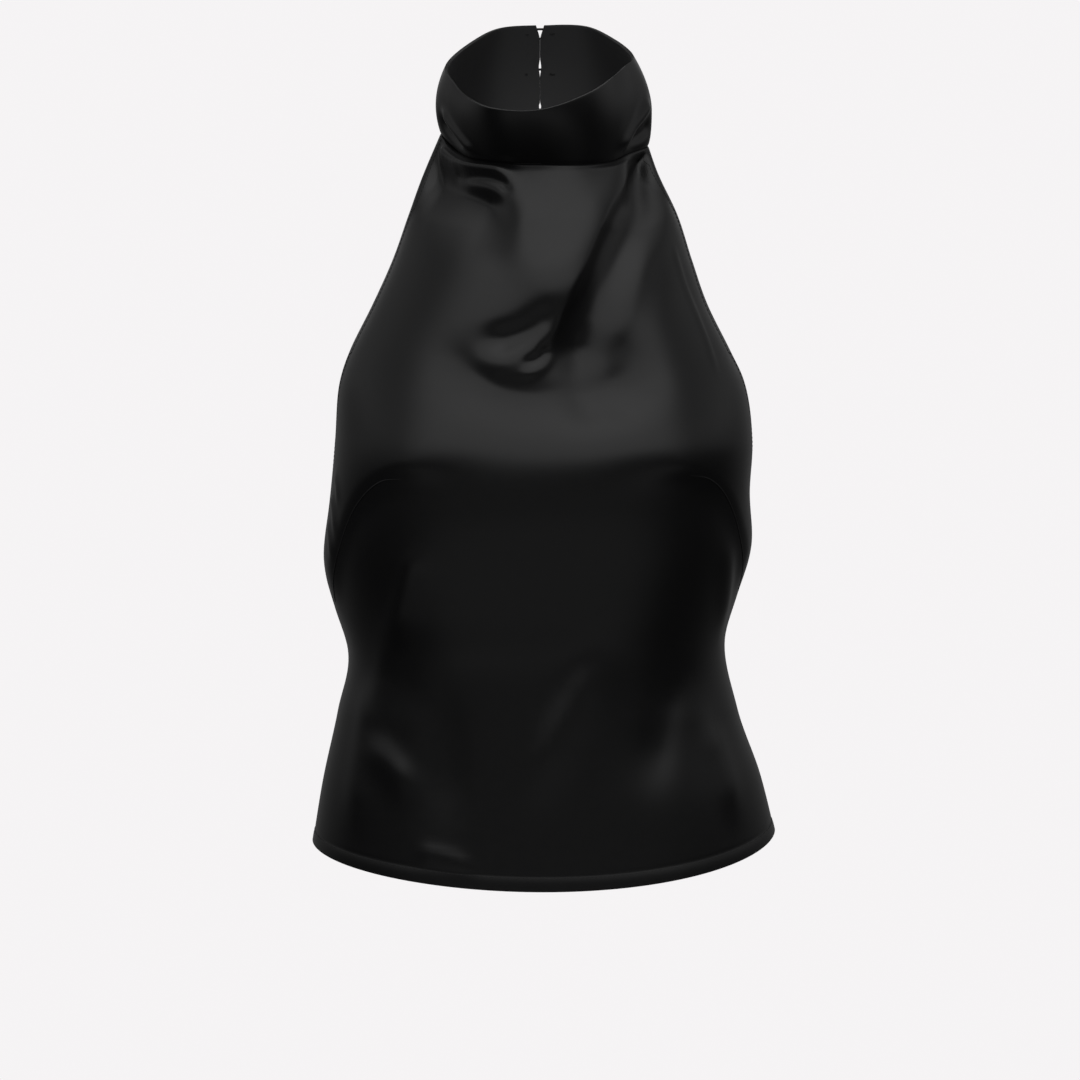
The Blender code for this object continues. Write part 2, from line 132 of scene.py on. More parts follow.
# Folds: a ridge has a height above 0 and a trough one below 0. left and right are the widths of
# the two flanks for somebody who walks along the path, and the fades are lengths at its two ends.
# A path is millimetres along the cloth from the centre front, and the height of the row.
FOLD_COLUMNS = ("name", "height", "left", "right", "fade_in", "fade_out", "path")
FRONT_FOLDS = (
    ("throat ridge", 5.5, 5, 24, 1, 26,
     ((96, -12), (56, -34), (38, -54), (24, -84), (15, -104), (8, -118), (0, -130))),
    ("slope beside the throat ridge", -10.5, 17, 19, 2, 24,
     ((98, -22), (75, -46), (59, -67), (47, -91), (38, -112), (29, -131), (17, -148))),
    ("lip", 2.4, 12, 10, 20, 22, ((14, -110), (5, -124), (-8, -134), (-26, -141), (-46, -141))),
    ("hook hollow", -3.8, 9, 10, 14, 16, ((12, -106), (3, -114), (-9, -121), (-22, -126), (-38, -130))),
    ("rim of the hook", 0.9, 3, 3, 10, 12, ((10, -132), (4, -142), (-6, -148), (-18, -149))),
    ("eye of the hook", -1.6, 3, 3, 6, 8, ((5, -130), (-1, -138), (-12, -143))),
    ("crease under the lip", -4.6, 12, 26, 20, 24,
     ((-56, -142), (-40, -153), (-24, -160), (-6, -163), (16, -161), (43, -156), (70, -149))),
    ("sag right of the hook", -7.0, 26, 22, 18, 24, ((16, -160), (34, -160), (52, -155), (70, -145))),
    ("second ridge", 1.2, 12, 12, 18, 30, ((80, -46), (66, -68), (54, -90), (46, -110), (40, -124))),
    ("valley beyond the second ridge", -1.8, 14, 10, 18, 20,
     ((92, -76), (78, -98), (68, -118), (58, -132), (44, -142))),
    ("armhole tension", 0.8, 3, 3, 14, 20, ((104, -70), (113, -95), (124, -116), (130, -137), (133, -159))),
    ("left ridge", 4.5, 7, 4.5, 1, 20, ((-100, -16), (-66, -16), (-40, -16), (-24, -19), (-16, -27))),
    ("groove under the left ridge", -2.0, 3, 3, 8, 8, ((-78, -21), (-44, -21), (-28, -24), (-18, -31))),
    ("second fold on the left", 0.7, 3, 3, 8, 10, ((-62, -25), (-46, -26), (-32, -29), (-21, -36))),
    ("hollow under the left ridge", -9.5, 9, 26, 4, 16, ((-100, -30), (-68, -31), (-46, -35), (-26, -43))),
    ("edge of the tongue", 4.5, 26, 16, 20, 24, ((-12, -34), (-11, -56), (-7, -76), (3, -90), (12, -100))),
    ("cup over the left dart", 4.0, 12, 44, 40, 24,
     ((-56, -205), (-90, -206), (-118, -213), (-142, -229), (-162, -254), (-184, -292))),
    ("cup over the right dart", 4.0, 44, 12, 40, 24,
     ((62, -206), (96, -207), (126, -216), (152, -232), (172, -256), (194, -290))),
    ("streak below the left dart", 2.5, 12, 10, 20, 30, ((-81, -258), (-92, -294), (-104, -330))),
    ("streak below the right dart", 2.0, 10, 12, 20, 30, ((146, -266), (156, -290), (166, -330))),
    ("upper wrinkle at the left side", 1.0, 3, 3, 5, 10, ((-176, -218), (-166, -226), (-160, -238))),
    ("middle wrinkle at the left side", 1.2, 3, 4, 5, 10, ((-180, -232), (-168, -242), (-161, -256))),
    ("lower wrinkle at the left side", 1.0, 3, 3, 5, 10, ((-182, -248), (-172, -258), (-167, -272))),
    ("light patch by the left waist", 1.6, 14, 14, 20, 24, ((-100, -300), (-112, -336), (-122, -376))),
    ("long slant", 3.6, 18, 13, 40, 50, ((50, -322), (20, -374), (-10, -436))),
    ("dark slant by the right hip", -2.5, 13, 20, 24, 30, ((104, -348), (90, -384), (76, -424))),
    ("right hip fall", 2.6, 14, 12, 24, 30, ((130, -380), (140, -418), (148, -460))),
    ("left hip fall", 2.6, 14, 16, 30, 40, ((-128, -350), (-134, -404), (-144, -470))),
    ("left hip patch", 2.4, 10, 14, 16, 18, ((-124, -398), (-106, -410), (-88, -426))),
    ("left belly trough", -2.8, 18, 20, 40, 50, ((-70, -340), (-62, -394), (-66, -460))),
    ("pucker over the hem", 1.1, 5, 8, 10, 14, ((-86, -466), (-66, -468), (-44, -473))),
)
# The curved seams of the two bust darts, on the front. Each stands proud over its allowance, and
# starts fine at the dart's point: how fine, and over which share of its length.
DART_SEAMS = (
    ("left_dart_seam", ((-96, -218), (-112, -220), (-128, -229), (-144, -244), (-160, -268), (-182, -302))),
    ("right_dart_seam", ((102, -216), (118, -219), (136, -229), (153, -245), (170, -270), (194, -302))),
)
SEAM_RIDGE, SEAM_PROUD, SEAM_STEPS = 0.75, 0.3, 60
POINT_SIZE, POINT_SHARE = 0.25, 0.3
# The back isn't seen. Its folds are like the front's below the bust, from the centre back.
BACK_FOLDS = (
    ("drag across the small of the back", 1.6, 14, 9, 30, 34,
     ((-92, -328), (-50, -337), (-8, -338), (40, -331))),
    ("lower drag", 1.2, 12, 8, 24, 26, ((24, -352), (64, -350), (106, -340))),
    ("left fall", 2.3, 15, 16, 40, 40, ((-78, -352), (-90, -400), (-108, -452))),
    ("middle trough", -2.2, 20, 18, 40, 50, ((-8, -362), (6, -408), (-2, -460))),
    ("right fall", 2.8, 13, 18, 40, 46, ((60, -366), (84, -408), (98, -456))),
)
COLLAR_FOLDS = (
    ("left pocket edge", 3.0, 5, 5, 8, 10, ((-84, 31), (-64, 20), (-46, 6))),
    ("left pocket", -4.0, 8, 8, 8, 8, ((-92, 22), (-76, 12), (-62, 7))),
    ("right pocket edge", 3.5, 5, 6, 8, 10, ((98, 31), (78, 19), (58, 5))),
    ("right pocket", -4.0, 8, 8, 8, 8, ((104, 19), (90, 11), (74, 6))),
)
FOLD_SAMPLES = 12
# The small share that fades start with, and the least distance from a path.
FADE_START, LEAST_DISTANCE = 0.001, 1e-6
# How far from a side seam and from the neck seam the folds are full, how far down the front
# follows the collar's base, and how a section dips from its ends to its middle.
SEAM_REACH, TOP_REACH = 12, 5
SEAM_BLEND = 45
DIP = 1.25

FRONT_TOP, UNDER_ARM, HEM = FRONT[0][0], BACK[0][0], FRONT[-1][0]
# The grids of the three cloth pieces. The front's cells are narrower in its middle, by this share.
CHEST_FOOT = -172
CHEST_STEP, BUST_STEP, SIDE_STEP = 1.3, 1.8, 4.0
HEM_ROWS = (14, 11.8, 10.4, 9.6, 9.0, 8.2, 5.6, 3.0, 1.2, 0.4, 0)
FRONT_CELLS, BACK_CELLS = 176, 150
MIDDLE_CELL = 0.72
COLLAR_CELLS, COLLAR_RINGS = 300, 34
# The back's sides come this far past the front's, so that the seams are closed.
CLOSED_SEAM = -0.1
# The collar's seam allowance: its depth, how far it leans in, and how much of it shows where the
# collar is free behind. The front is sewn on as far round as this turn.
ALLOWANCE, ALLOWANCE_RINGS, ALLOWANCE_LEAN = 6, 4, 1.6
FREE_ALLOWANCE = 0.08
SEWN_TURN, SEWN_FADE = 85, 6
SEAM_GROOVE, GROOVE_WIDTH = 0.5, 1.2
# A turned hem: how far its second layer lifts the cloth and over which width, how deep its
# stitches draw it in and over which width, and where the second layer ends.
HEM_LIFT, HEM_STEP = 0.45, 1.5
HEM_DRAW, DRAW_WIDTH = 0.35, 1.3
HEM_PAST_STITCHES, HEM_END = 0.6, 0.8
ARMHOLE_FADE = 6
# A bar tack's length and rows, and a stitch's shape: along in halves of its length, and out in
# thicknesses of the thread. A loop's tack is half as long, on the other side of the slit, and
# this many degrees further from it.
TACK, TACK_ROWS = 1.8, (-0.5, 0.0, 0.5)
LOOP_TACK_SHIFT = 1
STITCH_SHAPE = ((-1.0, -0.5), (-0.75, 0.1), (0.0, 0.3), (0.75, 0.1), (1.0, -0.5))
BODY_WALL, COLLAR_WALL = 0.9, 2.2
HEM_WALL = 1.8
# The collar's folded rim is rounded this much, at edges sharper than this angle.
RIM_ROUND, SHARP_EDGE, RIM_SEGMENTS = 1.05, 55, 3
# How finely the sections of a dart seam, a thread and a cord are rounded.
SEAM_SIDES, THREAD_SIDES, CORD_SIDES = 3, 1, 4

BUTTONS = 3
BUTTON_TOP, BUTTON_PITCH = 0.91, 0.41
BUTTON_TURN = 172.6
BUTTON_RADIUS, BUTTON_HEIGHT = 4.6, 4.8
SHANK_RADIUS, SHANK_HEIGHT = 1.6, 2.2
SHANK_ROOM = 0.5
# Half the outline of a button, from the middle of its top to the middle of its shank.
BUTTON_OUTLINE = (
    (0.0, BUTTON_HEIGHT),
    (0.30 * BUTTON_RADIUS, 0.985 * BUTTON_HEIGHT),
    (0.55 * BUTTON_RADIUS, 0.93 * BUTTON_HEIGHT),
    (0.75 * BUTTON_RADIUS, 0.84 * BUTTON_HEIGHT),
    (0.90 * BUTTON_RADIUS, 0.72 * BUTTON_HEIGHT),
    (0.98 * BUTTON_RADIUS, 0.60 * BUTTON_HEIGHT),
    (BUTTON_RADIUS, SHANK_HEIGHT + 0.35),
    (0.95 * BUTTON_RADIUS, SHANK_HEIGHT + 0.05),
    (0.86 * BUTTON_RADIUS, SHANK_HEIGHT),
    (SHANK_RADIUS, SHANK_HEIGHT),
    (SHANK_RADIUS, 0.0),
    (0.0, 0.0),
)
BUTTON_STEPS, SAME_PLACE = 40, 0.00001
# How far a button's shank and a loop's cord are sunk into the cloth that they are sewn to.
SUNK_SHANK, SUNK_CORD = 0.3, 0.1
# A loop's cord and the reach of its legs, which end at this share of the reach before its bend.
LOOP_CORD = 0.8
LOOP_REACH, LEG_SHARE = 13, 0.15
LEG_POINTS, BEND_POINTS = 6, 13
# How far a collar point's neighbours are, in degrees round and in the share up.
TURN_STEP, UP_STEP = 0.5, 0.02

# The finishes. Lengths are in metres, and a scale is in waves a metre.
REVERSE_ROUGHNESS, REVERSE_SHEEN = 0.5, 0.1
FLOAT_STRETCH = 0.08
SLUB_SCALE, SLUB_ROUGHNESS = 160.0, 0.03
WEAVE_BUMP, WEAVE_DEPTH = 0.10, 0.0002
FIBRE_IOR, SHEEN_ROUGHNESS = 1.5, 0.5
THREAD_COLOUR, THREAD_ROUGHNESS = "#202021", 0.7
TWIST_SCALE, TWIST_BUMP, TWIST_DEPTH = 2500.0, 0.3, 0.0001
PAPER_COLOUR = "#fbf9fa"
PAPER_SEGMENTS, PAPER_RINGS = 48, 24

# The studio and the camera, in metres and degrees.
CAMERA_PLACE = (-0.00204, -2.6, -0.0816)
CAMERA_DOWN = 4.04
CAMERA_FOV = 16.08
CAMERA_SENSOR = 36
# How light the room is, by the sine of the height over eye level: the walls and the ceiling, what
# the wide softbox over the camera adds in front, the walls behind, and what the softbox there adds.
ROOM_COLUMNS = ("rise", "all_round", "in_front", "behind", "straight_behind")
ROOM = (
    (-1.00, 0.01, 0.00, 0.01, 0.00),
    (-0.62, 0.02, 0.06, 0.02, 0.04),
    (-0.38, 0.03, 0.24, 0.05, 0.12),
    (-0.16, 0.02, 0.02, 0.08, 0.08),
    (0.00, 0.02, 0.00, 0.10, 0.04),
    (0.10, 0.16, 0.04, 0.12, 0.12),
    (0.22, 0.34, 0.46, 0.16, 0.36),
    (0.42, 0.26, 0.54, 0.15, 0.40),
    (0.60, 0.20, 0.62, 0.12, 0.34),
    (0.85, 0.40, 0.60, 0.24, 0.20),
    (1.00, 0.70, 0.30, 0.42, 0.00),
)
# How far round the softbox reaches, by the cosine of the angle from straight ahead.
SOFTBOX_EDGE, SOFTBOX_FULL = 0.15, 0.75
# How far back the light of the room's rear begins and is full, in the same way.
REAR_EDGE, REAR_FULL = 0.2, 0.8
# The second softbox stands straight behind, and is narrower.
BACK_EDGE, BACK_FULL = 0.8, 0.98


def hex_to_linear(colour):
    """An sRGB hex colour as linear red, green, blue and alpha."""
    parts = [int(colour[i : i + 2], 16) / 255 for i in (1, 3, 5)]
    return (*[c / 12.92 if c <= 0.04045 else ((c + 0.055) / 1.055) ** 2.4 for c in parts], 1.0)


def add_node(tree, kind, settings=None, inputs=None):
    """Adds one node. An input is a value, or a pair of a node and the name of its output."""
    node = tree.nodes.new(kind)
    for name, value in (settings or {}).items():
        setattr(node, name, value)
    for name, value in (inputs or {}).items():
        if isinstance(value, tuple) and isinstance(value[0], bpy.types.Node):
            tree.links.new(value[0].outputs[value[1]], node.inputs[name])
        else:
            node.inputs[name].default_value = value
    return node


def new_material(name):
    material = bpy.data.materials.new(name)
    material.use_nodes = True
    material.node_tree.nodes.clear()
    return material


class HalterSatin(bpy.types.PropertyGroup):
    """The cloth"""

    face: StringProperty(name="Face", description="Colour of the satin's face", default="#0e0e0f")
    # The reverse's colour is the dull side's own grey, lightened further as painted reflection: it stands
    # in for the haze that a clear neck form in front of the inner collar would throw.
    reverse: StringProperty(name="Reverse", description="Colour of the dull side", default="#242425")
    gloss: FloatProperty(
        name="Roughness", description="Roughness of the face", default=0.31, min=0, max=1
    )
    thread: FloatProperty(
        name="Thread spacing",
        description="Spacing of the warp in millimetres",
        default=0.35,
        min=0.05,
        max=2,
    )


class HalterSewing(bpy.types.PropertyGroup):
    """The hems and stitches, in millimetres"""

    hem: FloatProperty(name="Hem", description="Depth of the turned hem", default=9.0, min=3, max=30)
    armhole: FloatProperty(
        name="Armhole hem", description="Width of the narrow hem", default=6.0, min=2, max=20
    )
    stitch: FloatProperty(name="Stitch", description="Length of a stitch", default=2.2, min=1, max=6)
    pitch: FloatProperty(
        name="Pitch", description="From one stitch to the next", default=3.0, min=1.5, max=8
    )
    thread: FloatProperty(
        name="Thread", description="Thickness of the thread", default=0.4, min=0.1, max=1.5
    )


class HalterStudio(bpy.types.PropertyGroup):
    """The room round the top"""

    room: FloatProperty(name="Room", description="Brightness of the white room", default=1.0, min=0)
    cove: FloatProperty(name="Cove", description="Radius of the paper cove in metres", default=8.0, min=4)
    pale: FloatProperty(name="Pale", description="Brightness of the paper", default=0.95, min=0)


def satin_material(name, colour, roughness, sheen, thread):
    """Satin weave: polyester filament woven so that long floats lie side by side. It gives a broad
    soft gloss with almost no colour of its own, and fine lines along the floats when seen close."""
    material = new_material(name)
    tree = material.node_tree
    place = add_node(tree, "ShaderNodeUVMap", {"uv_map": "cloth"})
    # A thread is drawn at its real spacing. The floats run down the cloth.
    drawn_out = (1.0, FLOAT_STRETCH, 1.0)
    stretch = add_node(tree, "ShaderNodeMapping", {}, {"Vector": (place, "UV"), "Scale": drawn_out})
    lines = {"Vector": (stretch, "Vector"), "Scale": 1 / (thread * MM), "Detail": 2.0}
    floats = add_node(tree, "ShaderNodeTexNoise", {}, lines)
    patches = {"Vector": (place, "UV"), "Scale": SLUB_SCALE, "Detail": 3.0}
    slubs = add_node(tree, "ShaderNodeTexNoise", {}, patches)
    weave = {"Strength": WEAVE_BUMP, "Distance": WEAVE_DEPTH, "Height": (floats, "Fac")}
    bump = add_node(tree, "ShaderNodeBump", {}, weave)
    smoothest, roughest = roughness - SLUB_ROUGHNESS, roughness + SLUB_ROUGHNESS
    uneven = add_node(
        tree, "ShaderNodeMapRange", {}, {"Value": (slubs, "Fac"), "To Min": smoothest, "To Max": roughest}
    )
    shader = add_node(
        tree,
        "ShaderNodeBsdfPrincipled",
        {},
        {
            "Base Color": hex_to_linear(colour),
            "Roughness": (uneven, "Result"),
            "IOR": FIBRE_IOR,
            "Sheen Weight": sheen,
            "Sheen Roughness": SHEEN_ROUGHNESS,
            "Normal": (bump, "Normal"),
        },
    )
    add_node(tree, "ShaderNodeOutputMaterial", {}, {"Surface": (shader, "BSDF")})
    return material


def thread_material():
    """Sewing thread: spun polyester, matt, a shade lighter than the satin beside it."""
    material = new_material("spun polyester thread")
    tree = material.node_tree
    place = add_node(tree, "ShaderNodeTexCoord")
    fibres = {"Vector": (place, "Object"), "Scale": TWIST_SCALE, "Detail": 2.0}
    twist = add_node(tree, "ShaderNodeTexNoise", {}, fibres)
    plies = {"Strength": TWIST_BUMP, "Distance": TWIST_DEPTH, "Height": (twist, "Fac")}
    bump = add_node(tree, "ShaderNodeBump", {}, plies)
    shader = add_node(
        tree,
        "ShaderNodeBsdfPrincipled",
        {},
        {
            "Base Color": hex_to_linear(THREAD_COLOUR),
            "Roughness": THREAD_ROUGHNESS,
            "Normal": (bump, "Normal"),
        },
    )
    add_node(tree, "ShaderNodeOutputMaterial", {}, {"Surface": (shader, "BSDF")})
    return material


def paper_material(pale):
    """Seamless paper of a photo studio, evenly lit: pale, with no gloss."""
    material = new_material("seamless studio paper")
    tree = material.node_tree
    white = {"Color": hex_to_linear(PAPER_COLOUR), "Strength": pale}
    glow = add_node(tree, "ShaderNodeEmission", {}, white)
    add_node(tree, "ShaderNodeOutputMaterial", {}, {"Surface": (glow, "Emission")})
    return material


def through(knots, values, at):
    """A smooth curve through the rows of a table, read at some places."""
    knots, values, at = (np.asarray(a, float) for a in (knots, values, at))
    slopes = np.gradient(values, knots)
    i = np.clip(np.searchsorted(knots, at) - 1, 0, len(knots) - 2)
    gap = knots[i + 1] - knots[i]
    s = np.clip((at - knots[i]) / gap, 0, 1)
    return (
        (1 + 2 * s) * (1 - s) ** 2 * values[i]
        + s * (1 - s) ** 2 * gap * slopes[i]
        + s * s * (3 - 2 * s) * values[i + 1]
        - s * s * (1 - s) * gap * slopes[i + 1]
    )


def ease(part):
    """0 to 1, with a soft start and a soft end."""
    part = np.clip(part, 0, 1)
    return part * part * (3 - 2 * part)


def column(table, columns, name, at):
    """One column of a table, read between its rows. The first column says where each row is."""
    rows = sorted(table)
    n = columns.index(name)
    return through([row[0] for row in rows], [row[n] for row in rows], at)


def collar_column(name, turn):
    """A column of the collar's table, which closes on itself behind."""
    laps = [(row[0] + lap, *row[1:]) for lap in (-360, 0, 360) for row in COLLAR]
    return column(laps, COLLAR_COLUMNS, name, turn)


def collar_line(edge, turn):
    return np.stack([collar_column(f"{edge}_{axis}", turn) for axis in "xyz"], -1)


def section(across, height, ends, mid_y, wrap, square):
    """One section from its left end (across -1) through the middle (0) to its right end (1)."""
    left_x, right_x, left_z, right_z, edge_y = ends
    wrap = np.radians(np.minimum(wrap, 90))
    angle = across * wrap
    side = np.sin(angle) / np.sin(wrap)
    depth = np.clip((np.cos(angle) - np.cos(wrap)) / (1 - np.cos(wrap)), 0, 1)
    edge_z = left_z + (right_z - left_z) * (side + 1) / 2
    x = (left_x + right_x) / 2 + (right_x - left_x) / 2 * side
    y = edge_y + (mid_y - edge_y) * depth**square
    z = edge_z + (height - edge_z) * depth**DIP
    return np.stack([x, y, z], -1)


def side_ends(row):
    names = ("left_x", "right_x", "left_z", "right_z", "edge_y")
    return [column(FRONT, FRONT_COLUMNS, name, row) for name in names]


def plain_front(across, row):
    """The front with no folds. Its top row is the neck seam."""
    mid_y, wrap, square = (column(FRONT, FRONT_COLUMNS, n, row) for n in ("mid_y", "wrap", "square"))
    points = section(across, row, side_ends(row), mid_y, wrap, square)
    top = np.full_like(row, FRONT_TOP)
    mid_y, wrap, square = (column(FRONT, FRONT_COLUMNS, n, top) for n in ("mid_y", "wrap", "square"))
    shift = collar_line("base", 90 * across) - section(across, top, side_ends(top), mid_y, wrap, square)
    near_seam = 1 - ease((FRONT_TOP - row) / SEAM_BLEND)
    return points + near_seam[..., None] * shift


def plain_back(across, row):
    ends = side_ends(row)
    ends[-1] = ends[-1] + CLOSED_SEAM
    mid_z, mid_y = (column(BACK, BACK_COLUMNS, name, row) for name in ("mid_z", "mid_y"))
    return section(across, mid_z, ends, mid_y, np.full_like(row, 90.0), np.ones_like(row))


def plain_collar(turn, up):
    """The collar with no folds: turn in degrees, and up from 0 at the seam to 1 at the rim."""
    base, rim = collar_line("base", turn), collar_line("rim", turn)
    middle = (base + rim) / 2 * (1, 1, 0)
    outward = middle / np.linalg.norm(middle, axis=-1, keepdims=True)
    bulge = collar_column("belly", turn) * 4 * up * (1 - up)
    points = base + (rim - base) * up[..., None] + outward * bulge[..., None]
    half_width = np.maximum(column(SLIT, SLIT_COLUMNS, "half_width", up), SLIT_TOUCH)
    points[..., 0] += np.exp(-(((180 - abs(turn)) / SLIT_SPREAD) ** 2)) * half_width * np.sign(turn)
    return points


def outward_normals(points):
    """Normals of a grid of points, pointing away from the middle of the garment."""
    normals = np.cross(np.gradient(points, axis=1), np.gradient(points, axis=0))
    normals /= np.linalg.norm(normals, axis=-1, keepdims=True)
    middle = points.shape[0] // 2, points.shape[1] // 2
    return normals if np.sum(normals[middle][:2] * points[middle][:2]) > 0 else -normals


def fold_relief(places, folds):
    """How far the folds lift or sink the cloth at each place on it. Each point of a fold's path
    raises the cloth about it, and the highest of these counts."""
    relief = np.zeros(places.shape[:-1])
    for values in folds:
        fold = dict(zip(FOLD_COLUMNS, values))
        left, right, path = fold["left"], fold["right"], np.array(fold["path"], float)
        knots = np.arange(len(path))
        at = np.linspace(0, len(path) - 1, FOLD_SAMPLES * len(path))
        line = np.stack([through(knots, path[:, 0], at), through(knots, path[:, 1], at)], -1)
        ahead = np.gradient(line, axis=0)
        run = np.concatenate([[0], np.cumsum(np.linalg.norm(np.diff(line, axis=0), axis=1))])
        ahead /= np.linalg.norm(ahead, axis=1, keepdims=True)
        fade_in = ease(run / fold["fade_in"] + FADE_START)
        fade_out = ease((run[-1] - run) / fold["fade_out"] + FADE_START)
        lift = np.zeros_like(relief)
        for here, way, share in zip(line, ahead, fade_in * fade_out):
            offset = places - here
            distance = np.hypot(offset[..., 0], offset[..., 1]) + LEAST_DISTANCE
            leftness = (way[0] * offset[..., 1] - way[1] * offset[..., 0]) / distance
            width = (left + right) / 2 + (left - right) / 2 * leftness
            np.maximum(lift, share * np.exp(-((distance / width) ** 2)), out=lift)
        relief += fold["height"] * lift
    return relief


def along_cloth(points):
    """Millimetres along each row of a grid of points, from its middle column."""
    steps = np.linalg.norm(np.diff(points, axis=1), axis=-1)
    run = np.concatenate([np.zeros((len(points), 1)), np.cumsum(steps, axis=1)], 1)
    return run - run[:, [points.shape[1] // 2]]


def rows_from(top, foot, step):
    return np.linspace(top, foot, 1 + round((top - foot) / step))


def side_rows():
    """Rows from under the arms to the hem, closer together at the hem's fold and stitches."""
    plain = rows_from(UNDER_ARM, HEM + HEM_ROWS[0], SIDE_STEP)
    return np.concatenate([plain[:-1], HEM + np.array(HEM_ROWS)])


def front_grid():
    chest = rows_from(FRONT_TOP, CHEST_FOOT, CHEST_STEP)
    bust = rows_from(CHEST_FOOT, UNDER_ARM, BUST_STEP)
    heights = np.concatenate([chest, bust[1:], side_rows()[1:]])
    even = np.linspace(-1, 1, FRONT_CELLS + 1)
    return np.meshgrid(even * (MIDDLE_CELL + (1 - MIDDLE_CELL) * even**2), heights)


def hem_relief(from_hem, depth):
    """A turned hem stands proud by its second layer, and its stitches pull a line in above it."""
    lifted = HEM_LIFT * ease((depth - from_hem) / HEM_STEP + 1)
    return lifted - HEM_DRAW * np.exp(-(((from_hem - depth) / DRAW_WIDTH) ** 2))


def hem_part(from_edge, depth):
    """1 where the hem's turned-in layer is, 0 beyond it."""
    return ease((depth + HEM_PAST_STITCHES - from_edge) / HEM_END)


def front_points(sewing):
    across, row = front_grid()
    points = plain_front(across, row)
    run = along_cloth(points)
    relief = fold_relief(np.stack([run, row], -1), FRONT_FOLDS)
    from_sides = np.minimum(run - run[:, :1], run[:, -1:] - run)
    relief *= ease(from_sides / SEAM_REACH) * ease((FRONT_TOP - row) / TOP_REACH)
    relief += hem_relief(row - HEM, sewing.hem)
    at_armhole = ease((row - UNDER_ARM) / ARMHOLE_FADE)
    relief += at_armhole * hem_relief(from_sides, sewing.armhole)
    at_sides = at_armhole * hem_part(from_sides, sewing.armhole)
    doubled = np.maximum(hem_part(row - HEM, sewing.hem), at_sides)
    return points + outward_normals(points) * relief[..., None], run, row, doubled


def back_points(sewing):
    heights = side_rows()
    across, row = np.meshgrid(np.linspace(-1, 1, BACK_CELLS + 1), heights)
    points = plain_back(across, row)
    run = along_cloth(points)
    relief = fold_relief(np.stack([run, row], -1), BACK_FOLDS)
    relief *= ease(np.minimum(run - run[:, :1], run[:, -1:] - run) / SEAM_REACH)
    relief += hem_relief(row - HEM, sewing.hem) + hem_relief(UNDER_ARM - row, sewing.armhole)
    doubled = np.maximum(hem_part(row - HEM, sewing.hem), hem_part(UNDER_ARM - row, sewing.armhole))
    return points + outward_normals(points) * relief[..., None], run, row, doubled


def collar_points():
    """The collar's outer side. Its lowest rows are the seam allowance, pressed inside the front."""
    turned_in = np.linspace(-ALLOWANCE / COLLAR_DEPTH, 0, ALLOWANCE_RINGS, endpoint=False)
    ups = np.append(turned_in, np.linspace(0, 1, COLLAR_RINGS + 1))
    turn, up = np.meshgrid(np.linspace(-180, 180, COLLAR_CELLS + 1), ups)
    points = plain_collar(turn, np.maximum(up, 0))
    run = np.radians(turn) * COLLAR_RADIUS
    rise = up * COLLAR_DEPTH
    relief = fold_relief(np.stack([run, rise], -1), COLLAR_FOLDS)
    relief *= ease(rise / SEAM_REACH) * ease((COLLAR_DEPTH - rise) / SEAM_REACH)
    relief -= SEAM_GROOVE * np.exp(-((rise / GROOVE_WIDTH) ** 2))
    points += outward_normals(plain_collar(turn, up)) * relief[..., None]
    sewn = FREE_ALLOWANCE + (1 - FREE_ALLOWANCE) * (1 - ease((abs(turn) - SEWN_TURN) / SEWN_FADE))
    inside = np.minimum(rise, 0) * sewn
    points[..., 2] += inside
    points[..., :2] *= 1 + inside[..., None] / ALLOWANCE * ALLOWANCE_LEAN / COLLAR_RADIUS
    return points, run, rise


def grid_mesh(name, points, run, rise):
    """A grid shaped to the points, with a UV map in metres of cloth."""
    rows, columns = points.shape[:2]
    grid = bmesh.new()
    grid.loops.layers.uv.new("cloth")
    bmesh.ops.create_grid(grid, x_segments=columns - 1, y_segments=rows - 1, size=0.5, calc_uvs=True)
    mesh = bpy.data.meshes.new(name)
    grid.to_mesh(mesh)
    grid.free()
    flat = np.empty(len(mesh.vertices) * 3)
    mesh.vertices.foreach_get("co", flat)
    flat = flat.reshape(-1, 3)
    j = np.rint((flat[:, 0] + 0.5) * (columns - 1)).astype(int)
    i = np.rint((flat[:, 1] + 0.5) * (rows - 1)).astype(int)
    mesh.vertices.foreach_set("co", (points[i, j] * MM).ravel())
    mesh.attributes.new("cell", "INT", "POINT").data.foreach_set("value", i * columns + j)
    corner = np.empty(len(mesh.loops), int)
    mesh.loops.foreach_get("vertex_index", corner)
    cloth = np.stack([run[i, j], rise[i, j]], -1)[corner] * MM
    mesh.uv_layers["cloth"].data.foreach_set("uv", cloth.ravel())
    mesh.update()
    outward = sum(face.normal.xy.dot(face.center.xy) for face in mesh.polygons)
    if outward < 0:
        mesh.flip_normals()
    mesh.shade_smooth()
    return mesh


def on_vertices(mesh, grid_values):
    """Values of a grid, in the order of the vertices of the mesh made from it."""
    order = np.empty(len(mesh.vertices), int)
    mesh.attributes["cell"].data.foreach_get("value", order)
    return grid_values.ravel()[order]


def add_piece(name, data, materials):
    obj = bpy.data.objects.new(name, data)
    bpy.context.scene.collection.objects.link(obj)
    for material in materials:
        data.materials.append(material)
    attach(obj, BODY)
    return obj


def double_hems(obj, doubled):
    """Where a hem is turned in, the wall has its second layer. doubled is 0 to 1 at each place."""
    group = obj.vertex_groups.new(name="turned in")
    for weight in np.unique(np.round(doubled, 2)):
        picked = np.flatnonzero(np.round(doubled, 2) == weight)
        group.add(picked.tolist(), float(weight), "REPLACE")
    solidify = obj.modifiers["cloth"]
    solidify.thickness *= HEM_WALL
    solidify.vertex_group = group.name
    solidify.thickness_vertex_group = 1 / HEM_WALL


